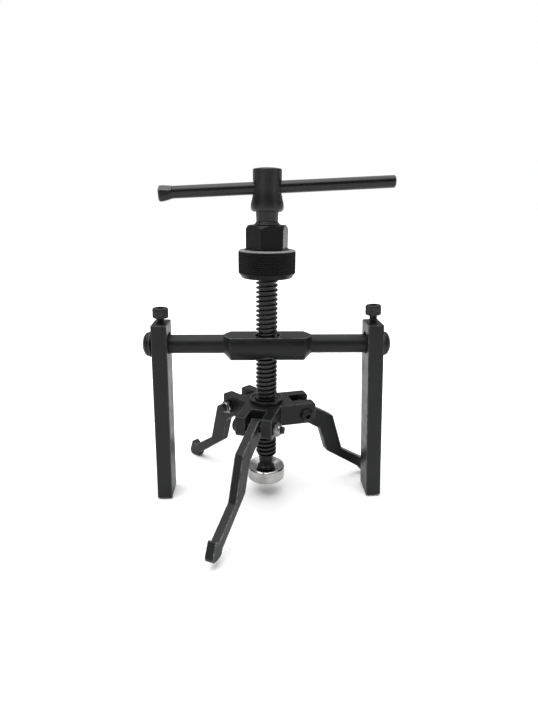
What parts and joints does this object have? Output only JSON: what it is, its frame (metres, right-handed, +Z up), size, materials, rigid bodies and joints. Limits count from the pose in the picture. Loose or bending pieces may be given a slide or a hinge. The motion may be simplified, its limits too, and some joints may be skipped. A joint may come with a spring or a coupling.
{
  "type": "gear puller",
  "caption": "Inner bearing and gear puller: bridge on flat legs, forcing screw with T-bar and nut, and a spider whose cranked jaws end in outward hooks.",
  "frame": {"origin": "centre of the expander disc's lower flat face, on the spindle's axis", "axes": "+Z up along the spindle, +X along the crossbar towards the T-bar's plain end, +Y away from the front jaw"},
  "size_m": [0.1621, 0.1434, 0.2174],
  "materials": {
    "black_steel": "black oxide steel, satin",
    "black_fastener": "black oxide alloy steel, darker",
    "knurled_black": "black oxide steel, diamond knurl",
    "chrome": "bright turned and plated",
    "bright_zinc": "bright zinc plate"
  },
  "bodies": {
    "bridge": {"crossbar": "black_steel", "end_washer_left": "black_steel", "end_washer_right": "black_steel", "end_screw_left": "black_fastener", "end_screw_right": "black_fastener"},
    "leg_left": {"leg_left": "black_steel"},
    "leg_right": {"leg_right": "black_steel"},
    "clamp_screw_left": {"leg_clamp_screw_left": "black_fastener"},
    "clamp_screw_right": {"leg_clamp_screw_right": "black_fastener"},
    "spider": {"spider": "black_steel", "spider_bush": "black_steel", "jaw_screw_right": "black_fastener", "jaw_screw_rear": "black_fastener", "jaw_screw_front": "black_fastener", "jaw_nut_right": "bright_zinc", "jaw_nut_rear": "bright_zinc", "jaw_nut_front": "bright_zinc"},
    "jaw_right": {"jaw_right": "black_steel"},
    "jaw_rear": {"jaw_rear": "black_steel"},
    "jaw_front": {"jaw_front": "black_steel"},
    "expander": {"expander_disc": "chrome"},
    "spindle": {"spindle": "black_steel", "expander_snap_ring": "bright_zinc"},
    "forcing_nut": {"forcing_nut": "knurled_black"},
    "t_bar": {"t_bar": "black_steel"}
  },
  "joints": [
    {"name": "leg_slide_left", "type": "slide", "parent": "bridge", "child": "leg_left", "axis": [1, 0, 0], "range_m": [0, 0.0275]},
    {"name": "leg_slide_right", "type": "slide", "parent": "bridge", "child": "leg_right", "axis": [-1, 0, 0], "range_m": [0, 0.0155]},
    {"name": "clamp_turn_left", "type": "hinge", "parent": "leg_left", "child": "clamp_screw_left", "pos_m": [-0.0681, 0, 0.0972], "axis": [0.0209, 0, 0.9998], "range_deg": [0, 720]},
    {"name": "clamp_turn_right", "type": "hinge", "parent": "leg_right", "child": "clamp_screw_right", "pos_m": [0.0698, 0, 0.0972], "axis": [-0.0506, 0, 0.9987], "range_deg": [0, 720]},
    {"name": "puller_lift", "type": "slide", "parent": "bridge", "child": "spider", "axis": [0, 0, 1], "range_m": [-0.0362, 0.0259]},
    {"name": "jaw_swing_right", "type": "hinge", "parent": "spider", "child": "jaw_right", "pos_m": [0.02428, 0.00552, 0.0491], "axis": [-0.2215, 0.9751, 0], "range_deg": [0, 43]},
    {"name": "jaw_swing_rear", "type": "hinge", "parent": "spider", "child": "jaw_rear", "pos_m": [-0.01692, 0.01827, 0.0491], "axis": [-0.7337, -0.6794, 0], "range_deg": [0, 40]},
    {"name": "jaw_swing_front", "type": "hinge", "parent": "spider", "child": "jaw_front", "pos_m": [-0.00736, -0.02379, 0.0491], "axis": [0.9553, -0.2957, 0], "range_deg": [0, 44]},
    {"name": "spindle_advance", "type": "slide", "parent": "spider", "child": "expander", "axis": [0, 0, -1], "range_m": [-0.0305, 0.0355]},
    {"name": "spindle_turn", "type": "hinge", "parent": "expander", "child": "spindle", "pos_m": [0, 0, 0.1], "axis": [0, 0, -1], "range_deg": [-3600, 4200]},
    {"name": "nut_travel", "type": "slide", "parent": "spindle", "child": "forcing_nut", "axis": [0, 0, 1], "range_m": [-0.029, 0]},
    {"name": "t_bar_slide", "type": "slide", "parent": "spindle", "child": "t_bar", "axis": [0.9986, 0, 0.0529], "range_m": [-0.068, 0.0465]}
  ],
  "couplings": [
    {"joint": "spindle_advance", "follows": "spindle_turn", "m_per_rad": 0.00047746}
  ]
}
